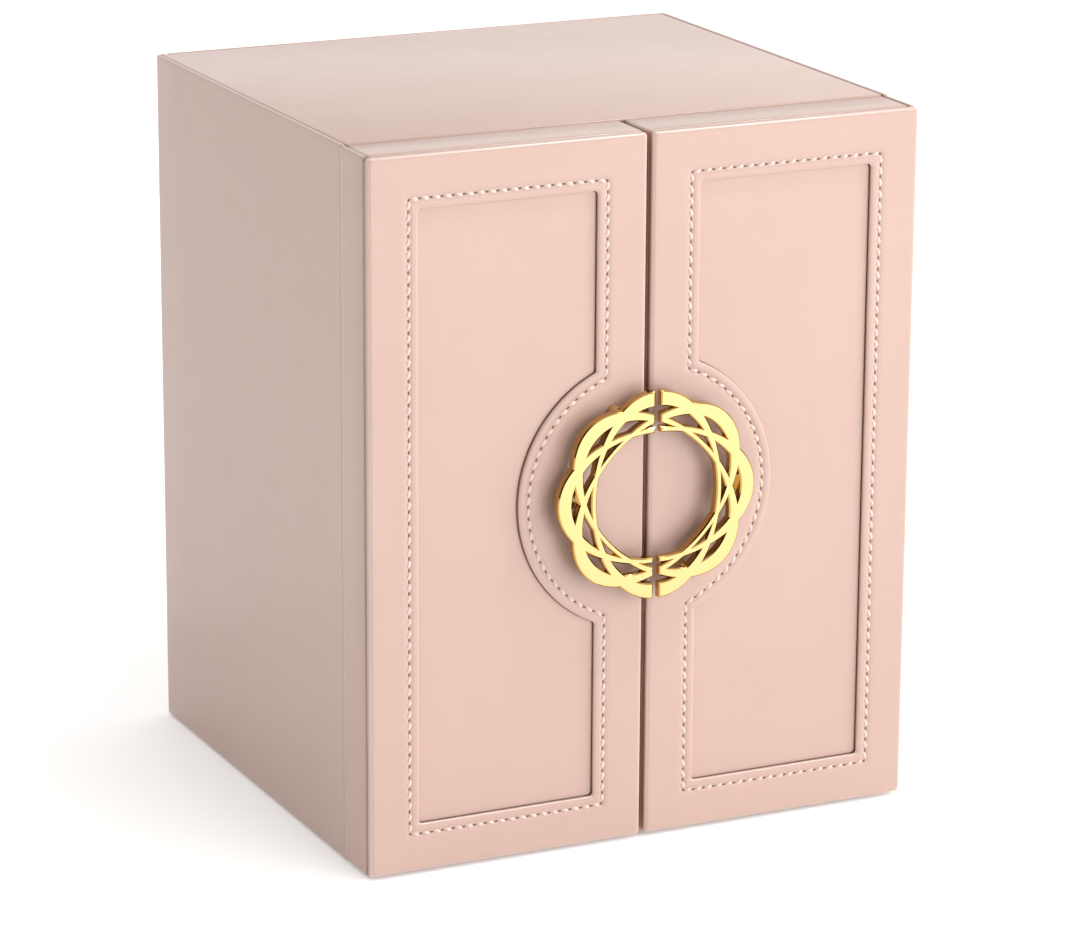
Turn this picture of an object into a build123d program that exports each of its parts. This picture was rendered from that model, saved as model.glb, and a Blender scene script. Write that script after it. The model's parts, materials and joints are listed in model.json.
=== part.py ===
"""Jewellery chest with two leather-hinged doors, a split ring handle and five drawers.

Millimetres. The origin is the centre of the base, +Z is up and the doors face -Y.
"""

import os

from build123d import *

# Overall size
WIDTH = 230.0
DEPTH = 215.0
HEIGHT = 280.0

# Sheets and boards
LEATHER = 1.0
BOARD = 12.0
BACK_BOARD = 6.0
FELT = 2.0
LEATHER_BOTTOM = 1.0
SEAM_INSET = 1.8
SEAM_GAP = 0.4
REAR_CORNER = 3.5
SKIN_EDGE = 0.8
FELT_MARGIN = 8.0
FELT_CORNER = 6.0
GLUE_LINE = 0.1

# Doors
DOOR_DEPTH = 25.0
DOOR_BACK_GAP = 0.5
DOOR_HALF_GAP = 1.0
DOOR_BOTTOM = 1.5
DOOR_TOP = 279.5
PADDED_LEATHER = 3.0
RECESS = 2.0
DOOR_BOARD = 3.5
RAIL = 8.0
LINING = 0.6
DOOR_EDGE = 0.9

# Sunk panel of each door, given for the +X side
PANEL_INNER = 21.5
PANEL_OUTER = 94.7
PANEL_BOTTOM = 20.5
PANEL_TOP = 259.0
PANEL_BITE_Z = 140.0
PANEL_BITE_RADIUS = 53.7
PANEL_CORNER = 1.5
PANEL_CLEARANCE = 0.2

# Ring handle: four elliptical bands turned by equal steps
HANDLE_Z = 141.2
HANDLE_THICKNESS = 3.5
HANDLE_STANDOFF = 5.5
HANDLE_CUT = 0.4
HANDLE_SHIFT = 0.9
HANDLE_EDGE = 0.5
BAND_OUTER = (40.8, 26.8)
BAND_INNER = (34.8, 24.6)
BAND_COUNT = 4
POST_RADIUS = 3.0
POST_PITCH_RADIUS = 35.0
POST_ANGLES = (112.5, 180.0, 247.5)
SCREW_RADIUS = 1.5
SCREW_CLEARANCE = 0.05
SCREW_HEAD_RADIUS = 3.0
SCREW_HEAD = 1.6
SCREW_GRIP = 4.0

# Door furniture
HOOK_RAIL_Z = 244.0
HOOK_RAIL_HEIGHT = 10.0
HOOK_RAIL_DEPTH = 4.4
HOOK_COUNT = 5
HOOK_PITCH = 18.0
HOOK_RADIUS = 0.9
HOOK_REACH = 6.0
HOOK_RISE = 5.0
HOOK_BEND = 2.0
HOOK_RAIL_EDGE = 1.5
POCKET_HEIGHT = 50.0
POCKET_DEPTH = 9.0
POCKET_WALL = 1.5
MAGNET_RADIUS = 3.0
MAGNET_DEPTH = 3.0
MAGNET_X = 20.0

# Drawers, from the top down
BAY_HEIGHTS = (44.0, 44.0, 44.0, 44.0, 64.0)
SHELF = 4.0
TRIM = 0.8
DRAWER_SETBACK = 15.0
DRAWER_SIDE_GAP = 1.0
DRAWER_UNDER_GAP = 0.4
DRAWER_OVER_GAP = 1.2
DRAWER_FRONT = 6.0
DRAWER_WALL = 4.0
DRAWER_BASE = 2.5
DRAWER_REAR_GAP = 8.0
DRAWER_RIM_DROP = 8.0
DRAWER_EDGE = 1.0
KNOB_RADIUS = 6.0
KNOB_REACH = 11.0
KNOB_SHANK_RADIUS = 2.0
KNOB_SHANK_CLEARANCE = 0.05
KNOB_FACE_RADIUS = 3.5
KNOB_DOME = 3.0
KNOB_RIM = 1.4
KNOB_NECK_RADIUS = 2.6
KNOB_FLANGE_RADIUS = 5.0
KNOB_FLANGE = 1.4
KNOB_NECK = 2.6

# Drawer fittings
INSERT_GAP = 0.4
DIVIDER = 3.0
DIVIDER_RISE = 24.0
ROLL_COUNT = 9
ROLL_RADIUS = 7.2
ROLL_GAP = 0.5
PILLOW_COUNT = 3
PILLOW_WIDTH = 54.0
PILLOW_DEPTH = 78.0
PILLOW_HEIGHT = 40.0
PILLOW_CORNER = 9.0

# Worked out from the sizes above
HALF_WIDTH = WIDTH / 2
FRONT = -DEPTH / 2
BACK = DEPTH / 2
CARCASS_FRONT = FRONT + DOOR_DEPTH
BOARD_FRONT = CARCASS_FRONT + TRIM
CORE_HALF = HALF_WIDTH - LEATHER
CORE_BACK = BACK - LEATHER
CORE_BOTTOM = LEATHER_BOTTOM + LEATHER
CORE_TOP = HEIGHT - LEATHER
INNER_HALF = CORE_HALF - BOARD
BAYS_BOTTOM = 12.0
BAYS_TOP = BAYS_BOTTOM + sum(BAY_HEIGHTS) + SHELF * (len(BAY_HEIGHTS) - 1)
BAY_BACK = CORE_BACK - BACK_BOARD
SEAM_X = HALF_WIDTH - SEAM_INSET

DOOR_BACK = CARCASS_FRONT - DOOR_BACK_GAP
DOOR_BOARD_FRONT = FRONT + PADDED_LEATHER
DOOR_BOARD_BACK = DOOR_BOARD_FRONT + DOOR_BOARD
DOOR_CORE_OUTER = HALF_WIDTH - LEATHER
DOOR_CORE_INNER = DOOR_HALF_GAP + LEATHER
DOOR_CORE_BOTTOM = DOOR_BOTTOM + LEATHER
DOOR_CORE_TOP = DOOR_TOP - LEATHER
TRAY_OUTER = DOOR_CORE_OUTER - RAIL
TRAY_INNER = DOOR_CORE_INNER + RAIL
TRAY_BOTTOM = DOOR_CORE_BOTTOM + RAIL
TRAY_TOP = DOOR_CORE_TOP - RAIL
TRAY_CENTRE = (TRAY_OUTER + TRAY_INNER) / 2
TRAY_WIDTH = TRAY_OUTER - TRAY_INNER
TRAY_FLOOR = DOOR_BOARD_BACK + LINING
MAGNET_HEIGHTS = ((DOOR_CORE_BOTTOM + TRAY_BOTTOM) / 2, (TRAY_TOP + DOOR_CORE_TOP) / 2)

DRAWER_FACE = CARCASS_FRONT + DRAWER_SETBACK
DRAWER_BOX_FRONT = DRAWER_FACE + DRAWER_FRONT
DRAWER_BOX_BACK = BAY_BACK - DRAWER_REAR_GAP
DRAWER_HALF = INNER_HALF - DRAWER_SIDE_GAP
DRAWER_INNER_HALF = DRAWER_HALF - DRAWER_WALL
DRAWER_INNER_FRONT = DRAWER_BOX_FRONT
DRAWER_INNER_BACK = DRAWER_BOX_BACK - DRAWER_WALL


def save(piece, name):
    """Labels one finished sub-part and writes it."""
    piece.part.label = name
    export_step(piece.part, f"parts/{name}.step")


def save_pair(piece, name):
    """Writes a +X side sub-part, and its mirror image for the -X side."""
    with BuildPart() as twin:
        mirror(piece.part, about=Plane.YZ)
    save(piece, f"right_{name}")
    save(twin, f"left_{name}")


def facing(y):
    """The upright plane at depth y that looks out of the front: its x is X and its y is Z."""
    return Plane.XZ.offset(-y)


def block(x0, x1, y0, y1, z0, z1, mode=Mode.ADD):
    """A box between two corners, added to the open part."""
    centre = ((x0 + x1) / 2, (y0 + y1) / 2, (z0 + z1) / 2)
    with Locations(centre):
        return Box(x1 - x0, y1 - y0, z1 - z0, mode=mode)


def bay_floors():
    """The floor height and clear height of each bay, from the top down."""
    floor = BAYS_TOP
    for height in BAY_HEIGHTS:
        floor -= height
        yield floor, height
        floor -= SHELF


# ---------------------------------------------------------------- carcass

def build_boards():
    """The boards that carry everything: rounded behind, where the leather turns the corner."""
    corner = REAR_CORNER - LEATHER
    for name, z0, z1, height in (
        ("bottom_board", CORE_BOTTOM, BAYS_BOTTOM, MAGNET_HEIGHTS[0]),
        ("top_board", BAYS_TOP, CORE_TOP, MAGNET_HEIGHTS[1]),
    ):
        with BuildPart() as board:
            block(-CORE_HALF, CORE_HALF, BOARD_FRONT, CORE_BACK, z0, z1)
            fillet(board.edges().filter_by(Axis.Z).group_by(Axis.Y)[-1], corner)
            with Locations(facing(BOARD_FRONT)):
                with Locations((-MAGNET_X, height), (MAGNET_X, height)):
                    Hole(MAGNET_RADIUS, MAGNET_DEPTH)
        save(board, name)

    with BuildPart() as side_board:
        block(INNER_HALF, CORE_HALF, BOARD_FRONT, CORE_BACK, BAYS_BOTTOM, BAYS_TOP)
        rear = side_board.edges().filter_by(Axis.Z).sort_by(Axis.Y)[-2:]
        fillet(rear.sort_by(Axis.X)[-1], corner)
    save_pair(side_board, "side_board")

    with BuildPart() as back_board:
        block(-INNER_HALF, INNER_HALF, BAY_BACK, CORE_BACK, BAYS_BOTTOM, BAYS_TOP)
    save(back_board, "back_board")

    for number, (floor, _) in enumerate(list(bay_floors())[:-1], start=1):
        with BuildPart() as shelf:
            block(-INNER_HALF, INNER_HALF, BOARD_FRONT, BAY_BACK, floor - SHELF, floor)
        save(shelf, f"shelf_{number}")


def build_carcass_skin():
    """The leather over the boards: one shell, cut into sheets along the sewn edges."""
    with BuildPart() as shell:
        block(-HALF_WIDTH, HALF_WIDTH, CARCASS_FRONT, BACK, LEATHER_BOTTOM, HEIGHT)
        fillet(shell.edges().filter_by(Axis.Z).group_by(Axis.Y)[-1], REAR_CORNER)
        for end in (0, -1):
            rim = shell.faces().sort_by(Axis.Z)[end].edges()
            fillet(rim - shell.edges().group_by(Axis.Y)[0], SKIN_EDGE)
        with BuildPart(mode=Mode.PRIVATE) as core:
            block(-CORE_HALF, CORE_HALF, CARCASS_FRONT - 1, CORE_BACK, CORE_BOTTOM, CORE_TOP)
            fillet(core.edges().filter_by(Axis.Z).group_by(Axis.Y)[-1], REAR_CORNER - LEATHER)
        add(core.part, mode=Mode.SUBTRACT)

    reach = HALF_WIDTH + 1
    seam_y = BACK - SEAM_INSET
    with BuildPart() as side_leather:
        add(shell.part)
        block(SEAM_X, reach, -reach, reach, 0, HEIGHT + 1, mode=Mode.INTERSECT)
    save_pair(side_leather, "side_leather")

    inset = SEAM_X - SEAM_GAP
    with BuildPart() as top_leather:
        add(shell.part)
        block(-inset, inset, -reach, seam_y - SEAM_GAP, HEIGHT - 2, HEIGHT + 1, mode=Mode.INTERSECT)
    save(top_leather, "top_leather")

    with BuildPart() as back_leather:
        add(shell.part)
        block(-inset, inset, seam_y, reach, 0, HEIGHT + 1, mode=Mode.INTERSECT)
    save(back_leather, "back_leather")

    with BuildPart() as front_trim:
        block(-CORE_HALF, CORE_HALF, CARCASS_FRONT, BOARD_FRONT, CORE_BOTTOM, CORE_TOP)
        for floor, height in bay_floors():
            block(-INNER_HALF, INNER_HALF, CARCASS_FRONT - 1, BOARD_FRONT + 1,
                  floor, floor + height, mode=Mode.SUBTRACT)
    save(front_trim, "front_trim")


def build_carcass_fittings():
    """The felt under the base and the magnets that hold the doors shut."""
    width = WIDTH - 2 * FELT_MARGIN
    depth = BACK - CARCASS_FRONT - 2 * FELT_MARGIN
    with BuildPart() as base_felt:
        with BuildSketch():
            with Locations((0, (CARCASS_FRONT + BACK) / 2)):
                RectangleRounded(width, depth, FELT_CORNER)
        extrude(amount=FELT)
    save(base_felt, "base_felt")

    with BuildPart() as magnets:
        for height in MAGNET_HEIGHTS:
            with BuildSketch(facing(BOARD_FRONT)):
                with Locations((-MAGNET_X, height), (MAGNET_X, height)):
                    Circle(MAGNET_RADIUS)
            extrude(amount=-MAGNET_DEPTH)
    save(magnets, "carcass_magnets")


# ---------------------------------------------------------------- doors

def post_centres():
    """Where the posts stand behind the +X half of the ring, as (x, z)."""
    for angle in POST_ANGLES:
        spot = Vector(POST_PITCH_RADIUS, 0, 0).rotate(Axis.Z, 180 - angle)
        yield (HANDLE_SHIFT + spot.X, HANDLE_Z + spot.Y)


def panel_outline(inset=0.0):
    """A tall panel stepped round the handle by an arc, drawn in the open sketch."""
    width = PANEL_OUTER - PANEL_INNER - 2 * inset
    height = PANEL_TOP - PANEL_BOTTOM - 2 * inset
    with BuildSketch(mode=Mode.PRIVATE) as outline:
        with Locations(((PANEL_OUTER + PANEL_INNER) / 2, (PANEL_TOP + PANEL_BOTTOM) / 2)):
            Rectangle(width, height)
        with Locations((0, PANEL_BITE_Z)):
            Circle(PANEL_BITE_RADIUS + inset, mode=Mode.SUBTRACT)
        fillet(outline.vertices(), PANEL_CORNER)
    return outline.sketch


def build_door_shell():
    """The padded leather front, the sunk panel, the board, the rim rails and the edge leather."""
    with BuildPart() as front_leather:
        block(DOOR_HALF_GAP, HALF_WIDTH, FRONT, DOOR_BOARD_FRONT, DOOR_BOTTOM, DOOR_TOP)
        with BuildSketch(facing(FRONT)):
            add(panel_outline())
        extrude(amount=-PADDED_LEATHER, mode=Mode.SUBTRACT)
        fillet(front_leather.faces().sort_by(Axis.Y)[0].edges(), DOOR_EDGE)
        with BuildSketch(facing(FRONT)):
            with Locations(*post_centres()):
                Circle(SCREW_RADIUS + SCREW_CLEARANCE)
        extrude(amount=-PADDED_LEATHER, mode=Mode.SUBTRACT)
    save_pair(front_leather, "door_front_leather")

    with BuildPart() as recess_panel:
        with BuildSketch(facing(FRONT + RECESS)):
            add(panel_outline(PANEL_CLEARANCE))
        extrude(amount=RECESS - PADDED_LEATHER)
    save_pair(recess_panel, "door_recess_panel")

    with BuildPart() as front_board:
        block(DOOR_CORE_INNER, DOOR_CORE_OUTER, DOOR_BOARD_FRONT, DOOR_BOARD_BACK,
              DOOR_CORE_BOTTOM, DOOR_CORE_TOP)
        with BuildSketch(facing(DOOR_BOARD_FRONT)):
            with Locations(*post_centres()):
                Circle(SCREW_RADIUS + SCREW_CLEARANCE)
        extrude(amount=-DOOR_BOARD, mode=Mode.SUBTRACT)
    save_pair(front_board, "door_board")

    with BuildPart() as rim_rails:
        block(TRAY_OUTER, DOOR_CORE_OUTER, DOOR_BOARD_BACK, DOOR_BACK, DOOR_CORE_BOTTOM, DOOR_CORE_TOP)
        block(DOOR_CORE_INNER, TRAY_INNER, DOOR_BOARD_BACK, DOOR_BACK, DOOR_CORE_BOTTOM, DOOR_CORE_TOP)
        rail_ends = (TRAY_INNER + GLUE_LINE, TRAY_OUTER - GLUE_LINE)
        block(*rail_ends, DOOR_BOARD_BACK, DOOR_BACK, DOOR_CORE_BOTTOM, TRAY_BOTTOM)
        block(*rail_ends, DOOR_BOARD_BACK, DOOR_BACK, TRAY_TOP, DOOR_CORE_TOP)
        for height in MAGNET_HEIGHTS:
            with BuildSketch(facing(DOOR_BACK)):
                with Locations((MAGNET_X, height)):
                    Circle(MAGNET_RADIUS)
            extrude(amount=MAGNET_DEPTH, mode=Mode.SUBTRACT)
    save_pair(rim_rails, "door_rim_rails")

    with BuildPart() as edge_leather:
        block(DOOR_HALF_GAP, HALF_WIDTH, DOOR_BOARD_FRONT, DOOR_BACK, DOOR_BOTTOM, DOOR_TOP)
        block(DOOR_CORE_INNER, DOOR_CORE_OUTER, FRONT, 0, DOOR_CORE_BOTTOM, DOOR_CORE_TOP,
              mode=Mode.SUBTRACT)
    save_pair(edge_leather, "door_edge_leather")

    with BuildPart() as magnets:
        for height in MAGNET_HEIGHTS:
            with BuildSketch(facing(DOOR_BACK)):
                with Locations((MAGNET_X, height)):
                    Circle(MAGNET_RADIUS)
            extrude(amount=MAGNET_DEPTH)
    save_pair(magnets, "door_magnets")


def build_handle():
    """Half of the lattice ring, its posts and the screws that come through the door board."""
    face = FRONT - HANDLE_STANDOFF - HANDLE_THICKNESS
    with BuildSketch() as band:
        Ellipse(*BAND_OUTER)
        Ellipse(*BAND_INNER, mode=Mode.SUBTRACT)
    with BuildPart() as handle:
        with BuildSketch(facing(face)):
            with Locations((HANDLE_SHIFT, HANDLE_Z)):
                for turn in range(BAND_COUNT):
                    add(band.sketch, rotation=turn * 180 / BAND_COUNT)
        extrude(amount=-HANDLE_THICKNESS)
        split(bisect_by=Plane.YZ.offset(HANDLE_CUT + HANDLE_SHIFT), keep=Keep.TOP)
        chamfer(handle.faces().sort_by(Axis.Y)[0].edges(), HANDLE_EDGE)
    save_pair(handle, "handle")

    back = FRONT - HANDLE_STANDOFF
    with BuildPart() as posts:
        with BuildSketch(facing(back)):
            with Locations(*post_centres()):
                Circle(POST_RADIUS)
        extrude(amount=-HANDLE_STANDOFF)
        with BuildSketch(facing(FRONT)):
            with Locations(*post_centres()):
                Circle(SCREW_RADIUS + SCREW_CLEARANCE)
        extrude(amount=SCREW_GRIP + SCREW_CLEARANCE, mode=Mode.SUBTRACT)
        with BuildSketch(facing(DOOR_BOARD_BACK)):
            with Locations(*post_centres()):
                Circle(SCREW_RADIUS)
        extrude(amount=DOOR_BOARD_BACK - FRONT + SCREW_GRIP)
        with BuildSketch(facing(DOOR_BOARD_BACK)):
            with Locations(*post_centres()):
                Circle(SCREW_HEAD_RADIUS)
        extrude(amount=-SCREW_HEAD)
    save_pair(posts, "handle_posts")


def build_tray():
    """What the hollow back of the door holds: lining, hook rail, necklace hooks and pocket."""
    with BuildPart() as lining:
        block(TRAY_INNER, TRAY_OUTER, DOOR_BOARD_BACK, TRAY_FLOOR, TRAY_BOTTOM, TRAY_TOP)
        with BuildSketch(facing(DOOR_BOARD_BACK)):
            with Locations(*post_centres()):
                Circle(SCREW_HEAD_RADIUS + PANEL_CLEARANCE)
        extrude(amount=-LINING, mode=Mode.SUBTRACT)
    save_pair(lining, "door_lining")

    rail_front = TRAY_FLOOR + HOOK_RAIL_DEPTH
    with BuildPart() as hook_rail:
        block(TRAY_INNER, TRAY_OUTER, TRAY_FLOOR, rail_front,
              HOOK_RAIL_Z - HOOK_RAIL_HEIGHT / 2, HOOK_RAIL_Z + HOOK_RAIL_HEIGHT / 2)
        fillet(hook_rail.edges().filter_by(Axis.X).group_by(Axis.Y)[-1], HOOK_RAIL_EDGE)
    save_pair(hook_rail, "door_hook_rail")

    tip_y = rail_front + HOOK_REACH
    with BuildPart() as hooks:
        for number in range(HOOK_COUNT):
            x = TRAY_CENTRE + (number - (HOOK_COUNT - 1) / 2) * HOOK_PITCH
            with BuildPart() as hook:
                with BuildLine() as wire:
                    FilletPolyline(
                        (x, rail_front, HOOK_RAIL_Z),
                        (x, tip_y - HOOK_RADIUS, HOOK_RAIL_Z),
                        (x, tip_y - HOOK_RADIUS, HOOK_RAIL_Z + HOOK_RISE),
                        radius=HOOK_BEND,
                    )
                with BuildSketch(Plane((x, rail_front, HOOK_RAIL_Z), z_dir=(0, 1, 0))):
                    Circle(HOOK_RADIUS)
                sweep()
    save_pair(hooks, "door_hooks")

    front = TRAY_FLOOR + POCKET_DEPTH
    top = TRAY_BOTTOM + POCKET_HEIGHT
    with BuildPart() as pocket:
        block(TRAY_INNER, TRAY_OUTER, TRAY_FLOOR, front, TRAY_BOTTOM, top)
        block(TRAY_INNER + POCKET_WALL, TRAY_OUTER - POCKET_WALL, TRAY_FLOOR, front - POCKET_WALL,
              TRAY_BOTTOM + POCKET_WALL, top, mode=Mode.SUBTRACT)
    save_pair(pocket, "door_pocket")


# ---------------------------------------------------------------- drawers

def build_knob(number, height):
    """A turned knob: domed head, neck, flange, and the shank through the drawer front."""
    tip = DRAWER_FACE - KNOB_REACH
    shoulder = tip + KNOB_DOME
    flange = DRAWER_FACE - KNOB_FLANGE
    crown = (KNOB_FACE_RADIUS + KNOB_RADIUS) / 2
    with BuildPart() as knob:
        with BuildSketch(Plane.YZ):
            with BuildLine():
                Polyline((DRAWER_BOX_FRONT, height), (tip, height), (tip, height + KNOB_FACE_RADIUS))
                ThreePointArc(
                    (tip, height + KNOB_FACE_RADIUS),
                    (tip + KNOB_DOME * 0.3, height + crown * 1.06),
                    (shoulder, height + KNOB_RADIUS),
                )
                Polyline(
                    (shoulder, height + KNOB_RADIUS),
                    (shoulder + KNOB_RIM, height + KNOB_RADIUS),
                    (flange - KNOB_NECK, height + KNOB_NECK_RADIUS),
                    (flange, height + KNOB_NECK_RADIUS),
                    (flange, height + KNOB_FLANGE_RADIUS),
                    (DRAWER_FACE, height + KNOB_FLANGE_RADIUS),
                    (DRAWER_FACE, height + KNOB_SHANK_RADIUS),
                    (DRAWER_BOX_FRONT, height + KNOB_SHANK_RADIUS),
                    (DRAWER_BOX_FRONT, height),
                )
            make_face()
        revolve(axis=Axis((0, 0, height), (0, 1, 0)))
    save(knob, f"drawer_{number}_knob")


def build_drawer(number, floor, height):
    """One drawer: front, box and knob. Returns the height of its inner floor."""
    bottom = floor + DRAWER_UNDER_GAP
    top = floor + height - DRAWER_OVER_GAP
    rim = top - DRAWER_RIM_DROP
    middle = (bottom + top) / 2

    with BuildPart() as front:
        block(-DRAWER_HALF, DRAWER_HALF, DRAWER_FACE, DRAWER_BOX_FRONT, bottom, top)
        fillet(front.faces().sort_by(Axis.Y)[0].edges(), DRAWER_EDGE)
        with BuildSketch(facing(DRAWER_FACE)):
            with Locations((0, middle)):
                Circle(KNOB_SHANK_RADIUS + KNOB_SHANK_CLEARANCE)
        extrude(amount=-DRAWER_FRONT, mode=Mode.SUBTRACT)
    save(front, f"drawer_{number}_front")

    with BuildPart() as box:
        block(-DRAWER_INNER_HALF + GLUE_LINE, DRAWER_INNER_HALF - GLUE_LINE,
              DRAWER_BOX_FRONT, DRAWER_INNER_BACK - GLUE_LINE, bottom, bottom + DRAWER_BASE)
        block(-DRAWER_INNER_HALF + GLUE_LINE, DRAWER_INNER_HALF - GLUE_LINE,
              DRAWER_INNER_BACK, DRAWER_BOX_BACK, bottom, rim)
        block(DRAWER_INNER_HALF, DRAWER_HALF, DRAWER_BOX_FRONT, DRAWER_BOX_BACK, bottom, rim)
        block(-DRAWER_HALF, -DRAWER_INNER_HALF, DRAWER_BOX_FRONT, DRAWER_BOX_BACK, bottom, rim)
    save(box, f"drawer_{number}_box")

    build_knob(number, middle)
    return bottom + DRAWER_BASE


def build_ring_rolls(name, floor):
    """Soft rolls side by side on the drawer base, each as wide as the drawer."""
    pitch = 2 * ROLL_RADIUS + ROLL_GAP
    middle = (DRAWER_INNER_FRONT + DRAWER_INNER_BACK) / 2
    half = DRAWER_INNER_HALF - INSERT_GAP
    with BuildPart() as rolls:
        with BuildSketch(Plane.YZ.offset(-half)):
            for number in range(ROLL_COUNT):
                y = middle + (number - (ROLL_COUNT - 1) / 2) * pitch
                with Locations((y, floor + ROLL_RADIUS + INSERT_GAP)):
                    Circle(ROLL_RADIUS)
        extrude(amount=2 * half)
    save(rolls, name)


def build_dividers(name, floor, columns, rows):
    """Upright strips that part a drawer into columns across and rows front to back."""
    half = DRAWER_INNER_HALF - INSERT_GAP
    front = DRAWER_INNER_FRONT + INSERT_GAP
    back = DRAWER_INNER_BACK - INSERT_GAP
    row_depth = (back - front - DIVIDER * (rows - 1)) / rows
    column_width = (2 * half - DIVIDER * (columns - 1)) / columns
    low = floor + INSERT_GAP
    with BuildPart() as dividers:
        for row in range(rows):
            y = front + row * (row_depth + DIVIDER)
            if row:
                block(-half, half, y - DIVIDER, y, low, low + DIVIDER_RISE)
            for column in range(1, columns):
                x = -half + column * (column_width + DIVIDER) - DIVIDER
                near = y + GLUE_LINE if row else y
                far = y + row_depth - GLUE_LINE if row < rows - 1 else y + row_depth
                block(x, x + DIVIDER, near, far, low, low + DIVIDER_RISE)
    save(dividers, name)


def build_pillows(name, floor):
    """Soft pillows for watches and bracelets, in a row at the back of the deep drawer."""
    middle = DRAWER_INNER_BACK - INSERT_GAP - PILLOW_DEPTH / 2
    pitch = 2 * DRAWER_INNER_HALF / PILLOW_COUNT
    with BuildPart() as pillows:
        for number in range(PILLOW_COUNT):
            x = (number - (PILLOW_COUNT - 1) / 2) * pitch
            block(x - PILLOW_WIDTH / 2, x + PILLOW_WIDTH / 2,
                  middle - PILLOW_DEPTH / 2, middle + PILLOW_DEPTH / 2,
                  floor + INSERT_GAP, floor + INSERT_GAP + PILLOW_HEIGHT)
        fillet(pillows.edges().filter_by(Axis.Y), PILLOW_CORNER)
    save(pillows, name)


def build_drawers():
    """The five drawers and what each one holds."""
    floors = []
    for number, (floor, height) in enumerate(bay_floors(), start=1):
        floors.append(build_drawer(number, floor, height))
    build_ring_rolls("drawer_1_ring_rolls", floors[0])
    build_dividers("drawer_2_dividers", floors[1], columns=3, rows=2)
    build_dividers("drawer_3_dividers", floors[2], columns=3, rows=1)
    build_dividers("drawer_4_divider", floors[3], columns=1, rows=2)
    build_pillows("drawer_5_pillows", floors[4])


os.makedirs("parts", exist_ok=True)
build_boards()
build_carcass_skin()
build_carcass_fittings()
build_door_shell()
build_handle()
build_tray()
build_drawers()
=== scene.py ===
import json
import math

import bmesh
import bpy
from mathutils import Matrix, Vector, noise


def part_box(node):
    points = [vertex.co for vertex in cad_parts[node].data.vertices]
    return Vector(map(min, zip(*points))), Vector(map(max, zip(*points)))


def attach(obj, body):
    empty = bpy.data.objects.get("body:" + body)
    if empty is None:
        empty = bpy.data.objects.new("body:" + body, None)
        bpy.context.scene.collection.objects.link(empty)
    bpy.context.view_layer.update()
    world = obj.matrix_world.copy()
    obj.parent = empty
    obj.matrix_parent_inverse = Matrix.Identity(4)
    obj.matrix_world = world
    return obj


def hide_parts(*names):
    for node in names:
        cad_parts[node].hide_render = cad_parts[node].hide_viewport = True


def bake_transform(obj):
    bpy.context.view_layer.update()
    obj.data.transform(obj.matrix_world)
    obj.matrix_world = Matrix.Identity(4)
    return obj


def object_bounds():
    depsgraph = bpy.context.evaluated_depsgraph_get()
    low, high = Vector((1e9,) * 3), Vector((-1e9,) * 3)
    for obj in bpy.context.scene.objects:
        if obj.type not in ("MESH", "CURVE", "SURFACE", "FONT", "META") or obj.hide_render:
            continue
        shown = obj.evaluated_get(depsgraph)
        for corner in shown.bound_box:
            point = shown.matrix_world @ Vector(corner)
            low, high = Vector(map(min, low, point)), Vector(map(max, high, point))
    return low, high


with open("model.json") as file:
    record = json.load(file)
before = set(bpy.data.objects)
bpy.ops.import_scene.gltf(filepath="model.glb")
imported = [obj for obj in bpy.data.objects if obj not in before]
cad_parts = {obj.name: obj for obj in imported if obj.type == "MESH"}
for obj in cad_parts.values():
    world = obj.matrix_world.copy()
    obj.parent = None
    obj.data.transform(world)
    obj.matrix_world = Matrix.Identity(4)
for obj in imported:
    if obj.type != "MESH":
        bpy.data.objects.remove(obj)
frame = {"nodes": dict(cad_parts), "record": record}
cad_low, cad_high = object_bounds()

MM = 0.001

# The unevenness of the velvet comes from noise.noise_vector, which differs from run to run without a seed.
noise.seed_set(1)

# The door and the body's side, on the +X side; the -X side is their mirror image.
PLATE_LOW, PLATE_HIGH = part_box("right_door_front_leather")
PANEL_LOW, PANEL_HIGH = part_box("right_door_recess_panel")
LINING_LOW, LINING_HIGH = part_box("right_door_lining")
SIDE_LOW, SIDE_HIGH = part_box("right_side_leather")
FRONT = PLATE_LOW.y
DOOR_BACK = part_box("right_door_rim_rails")[1].y
HINGE_Y = (DOOR_BACK + SIDE_LOW.y) / 2

# The padded leather frame of a door and its window, which steps round the handle in an arc, the bite.
# The stitched channel follows the window, STITCH_INSET outside it.
WINDOW_GAP = 0.2 * MM
WINDOW_CORNER = 1.4 * MM
WINDOW_ROLL = 1.1 * MM
BITE_RADIUS = 53.7 * MM
BITE_Z = 140 * MM
CORNER_STEPS = 8
BITE_STEPS = 72
PLATE_DEPTH = 3.8 * MM
PLATE_CORNER = 1.6 * MM
PLATE_ROLL = 1.8 * MM
STITCH_INSET = 4.0 * MM
STITCH_CORNER = 1.0 * MM
STITCH_PITCH = 4.55 * MM
CHANNEL_DEPTH = 0.5 * MM

# Leather wrapped round the doors' rims and the body. LIP is how far a side sheet reaches over the top and
# the bottom, SEAM the gap between two sheets, and CREASE the dent where a side sheet bends for its door.
WRAP_START = 4.4 * MM
WRAP_CORNER = 1.2 * MM
# How deep from the front the walls get the painted tan shade.
WALL_SHADE_DEPTH = 7.0 * MM
LIP = 1.8 * MM
SEAM = 0.5 * MM
SKIN = 1.0 * MM
SKIN_ROLL = 0.8 * MM
REAR_CORNER = 3.5 * MM
CREASE = 0.2 * MM

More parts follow.
